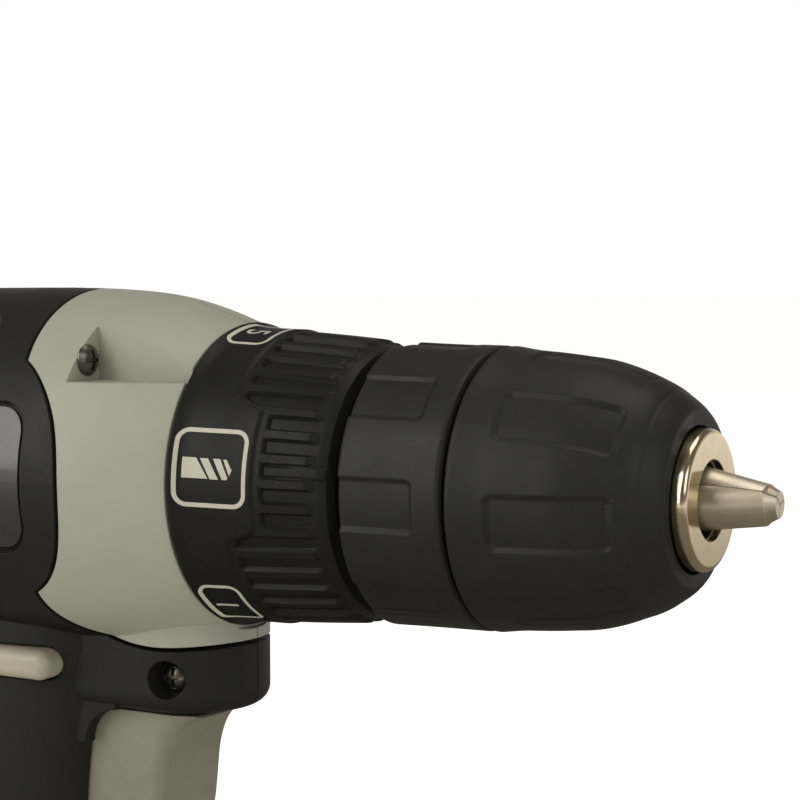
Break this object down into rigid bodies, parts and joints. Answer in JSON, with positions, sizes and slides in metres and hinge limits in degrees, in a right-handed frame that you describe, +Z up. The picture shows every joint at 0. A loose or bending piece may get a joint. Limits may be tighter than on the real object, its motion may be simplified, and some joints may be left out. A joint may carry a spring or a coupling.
{
  "type": "cordless drill",
  "caption": "Pistol-grip cordless drill with a two-sleeve keyless chuck, ribbed torque collar, trigger, direction button and a slide-in battery pack in the foot.",
  "frame": {"origin": "centre of the battery foot's flat rest face", "axes": "+X towards the chuck, +Y to the drill's left, +Z up from the rest face"},
  "size_m": [0.188, 0.0612, 0.2076],
  "materials": {
    "black_housing": "fine moulded texture, satin",
    "grey_cover": "fine moulded texture, satin",
    "label_gloss": "smooth printed film",
    "black_screw": "black oxide",
    "trigger_grey": "satin",
    "button_beige": "semi gloss",
    "sleeve_black": "soft satin",
    "collar_black": "satin",
    "polished_nickel": "polished",
    "jaw_steel": "ground",
    "battery_black": "fine moulded texture",
    "battery_grey": "fine moulded texture",
    "cell_wrap": "shrink film",
    "contact_brass": "bright",
    "copper_winding": "enamelled wire",
    "inner_plastic": "moulded",
    "machined_steel": "machined"
  },
  "bodies": {
    "housing": {"housing_right": "black_housing", "housing_left": "black_housing", "nose_cover_right": "grey_cover", "nose_cover_left": "grey_cover", "rating_plate_right": "label_gloss", "rating_plate_left": "label_gloss", "housing_screws": "black_screw", "nose_screw": "black_screw", "gearbox_housing": "inner_plastic", "motor_plate": "machined_steel", "motor_screws": "machined_steel", "motor_can": "machined_steel", "motor_magnets": "machined_steel", "motor_end_cap": "inner_plastic", "motor_bush": "machined_steel", "clutch_ring_gear": "machined_steel", "first_ring_gear": "machined_steel", "clutch_balls": "machined_steel", "clutch_washer": "machined_steel", "clutch_spring": "machined_steel", "front_bearing": "machined_steel", "rear_bearing": "machined_steel", "trigger_switch": "inner_plastic", "terminal_block": "inner_plastic", "trigger_spring": "machined_steel"},
    "spindle": {"spindle": "machined_steel", "output_carrier": "machined_steel", "chuck_body": "machined_steel", "chuck_nose_ring": "polished_nickel", "chuck_rear_sleeve": "sleeve_black", "chuck_screw": "machined_steel"},
    "chuck_sleeve": {"chuck_front_sleeve": "sleeve_black", "chuck_nut": "machined_steel"},
    "jaw_1": {"chuck_jaw_1": "jaw_steel"},
    "jaw_2": {"chuck_jaw_2": "jaw_steel"},
    "jaw_3": {"chuck_jaw_3": "jaw_steel"},
    "planet_2a": {"planet_gear_2a": "machined_steel"},
    "planet_2b": {"planet_gear_2b": "machined_steel"},
    "planet_2c": {"planet_gear_2c": "machined_steel"},
    "first_stage": {"first_carrier": "machined_steel"},
    "planet_1a": {"planet_gear_1a": "machined_steel"},
    "planet_1b": {"planet_gear_1b": "machined_steel"},
    "planet_1c": {"planet_gear_1c": "machined_steel"},
    "armature": {"armature": "copper_winding", "commutator": "contact_brass", "motor_shaft": "machined_steel", "motor_fan": "inner_plastic", "motor_pinion": "machined_steel"},
    "torque_collar": {"torque_collar": "collar_black"},
    "clutch_nut": {"clutch_nut": "machined_steel"},
    "trigger": {"trigger": "trigger_grey"},
    "direction_button": {"direction_button": "button_beige"},
    "battery_pack": {"battery_base": "battery_grey", "battery_case": "battery_black", "battery_cells": "cell_wrap", "battery_terminals": "contact_brass", "latch_spring_right": "machined_steel", "latch_spring_left": "machined_steel"},
    "latch_right": {"latch_button_right": "trigger_grey"},
    "latch_left": {"latch_button_left": "trigger_grey"}
  },
  "joints": [
    {"name": "chuck_spin", "type": "hinge", "parent": "housing", "child": "spindle", "pos_m": [0.06, 0, 0.178], "axis": [1, 0, 0], "continuous": true},
    {"name": "first_stage_spin", "type": "hinge", "parent": "housing", "child": "first_stage", "pos_m": [0.02, 0, 0.178], "axis": [1, 0, 0], "continuous": true},
    {"name": "motor_spin", "type": "hinge", "parent": "housing", "child": "armature", "pos_m": [-0.02, 0, 0.178], "axis": [1, 0, 0], "continuous": true},
    {"name": "planet_2a_spin", "type": "hinge", "parent": "spindle", "child": "planet_2a", "pos_m": [0.03, 0, 0.1888], "axis": [1, 0, 0], "continuous": true},
    {"name": "planet_1a_spin", "type": "hinge", "parent": "first_stage", "child": "planet_1a", "pos_m": [0.03, 0, 0.1888], "axis": [1, 0, 0], "continuous": true},
    {"name": "planet_2b_spin", "type": "hinge", "parent": "spindle", "child": "planet_2b", "pos_m": [0.03, 0.00935, 0.1726], "axis": [1, 0, 0], "continuous": true},
    {"name": "planet_1b_spin", "type": "hinge", "parent": "first_stage", "child": "planet_1b", "pos_m": [0.03, 0.00935, 0.1726], "axis": [1, 0, 0], "continuous": true},
    {"name": "planet_2c_spin", "type": "hinge", "parent": "spindle", "child": "planet_2c", "pos_m": [0.03, -0.00935, 0.1726], "axis": [1, 0, 0], "continuous": true},
    {"name": "planet_1c_spin", "type": "hinge", "parent": "first_stage", "child": "planet_1c", "pos_m": [0.03, -0.00935, 0.1726], "axis": [1, 0, 0], "continuous": true},
    {"name": "sleeve_turn", "type": "hinge", "parent": "spindle", "child": "chuck_sleeve", "pos_m": [0.1, 0, 0.178], "axis": [1, 0, 0], "range_deg": [0, 1800]},
    {"name": "jaw_1_slide", "type": "slide", "parent": "spindle", "child": "jaw_1", "axis": [-0.9781, -0.1954, -0.0711], "range_m": [0, 0.02]},
    {"name": "jaw_2_slide", "type": "slide", "parent": "spindle", "child": "jaw_2", "axis": [-0.9781, 0.0361, 0.2048], "range_m": [0, 0.02]},
    {"name": "jaw_3_slide", "type": "slide", "parent": "spindle", "child": "jaw_3", "axis": [-0.9781, 0.1593, -0.1336], "range_m": [0, 0.02]},
    {"name": "torque_setting", "type": "hinge", "parent": "housing", "child": "torque_collar", "pos_m": [0.045, 0, 0.178], "axis": [1, 0, 0], "range_deg": [-120, 180]},
    {"name": "clutch_nut_slide", "type": "slide", "parent": "torque_collar", "child": "clutch_nut", "axis": [-1, 0, 0], "range_m": [-0.0012, 0.0018], "deforming": ["clutch_spring"]},
    {"name": "trigger_pull", "type": "slide", "parent": "housing", "child": "trigger", "axis": [-1, 0, 0], "range_m": [0, 0.007], "stiffness_N_per_m": 900, "springref_m": -0.004, "deforming": ["trigger_spring"]},
    {"name": "direction_slide", "type": "slide", "parent": "housing", "child": "direction_button", "axis": [0, 1, 0], "range_m": [-0.0025, 0.0025]},
    {"name": "battery_release", "type": "slide", "parent": "housing", "child": "battery_pack", "axis": [0, 0, -1], "range_m": [0, 0.062]},
    {"name": "latch_right_press", "type": "slide", "parent": "battery_pack", "child": "latch_right", "axis": [0, 1, 0], "range_m": [0, 0.0024], "stiffness_N_per_m": 500, "springref_m": -0.002, "deforming": ["latch_spring_right"]},
    {"name": "latch_left_press", "type": "slide", "parent": "battery_pack", "child": "latch_left", "axis": [0, -1, 0], "range_m": [0, 0.0024], "stiffness_N_per_m": 500, "springref_m": -0.002, "deforming": ["latch_spring_left"]}
  ],
  "couplings": [
    {"joint": "first_stage_spin", "follows": "chuck_spin", "ratio": 4.5},
    {"joint": "motor_spin", "follows": "chuck_spin", "ratio": 20.25},
    {"joint": "planet_2a_spin", "follows": "chuck_spin", "ratio": -2.8},
    {"joint": "planet_1a_spin", "follows": "chuck_spin", "ratio": -12.6},
    {"joint": "planet_2b_spin", "follows": "chuck_spin", "ratio": -2.8},
    {"joint": "planet_1b_spin", "follows": "chuck_spin", "ratio": -12.6},
    {"joint": "planet_2c_spin", "follows": "chuck_spin", "ratio": -2.8},
    {"joint": "planet_1c_spin", "follows": "chuck_spin", "ratio": -12.6},
    {"joint": "jaw_1_slide", "follows": "sleeve_turn", "m_per_rad": 0.00063662},
    {"joint": "jaw_2_slide", "follows": "sleeve_turn", "m_per_rad": 0.00063662},
    {"joint": "jaw_3_slide", "follows": "sleeve_turn", "m_per_rad": 0.00063662},
    {"joint": "clutch_nut_slide", "follows": "torque_setting", "m_per_rad": 0.00057296}
  ]
}
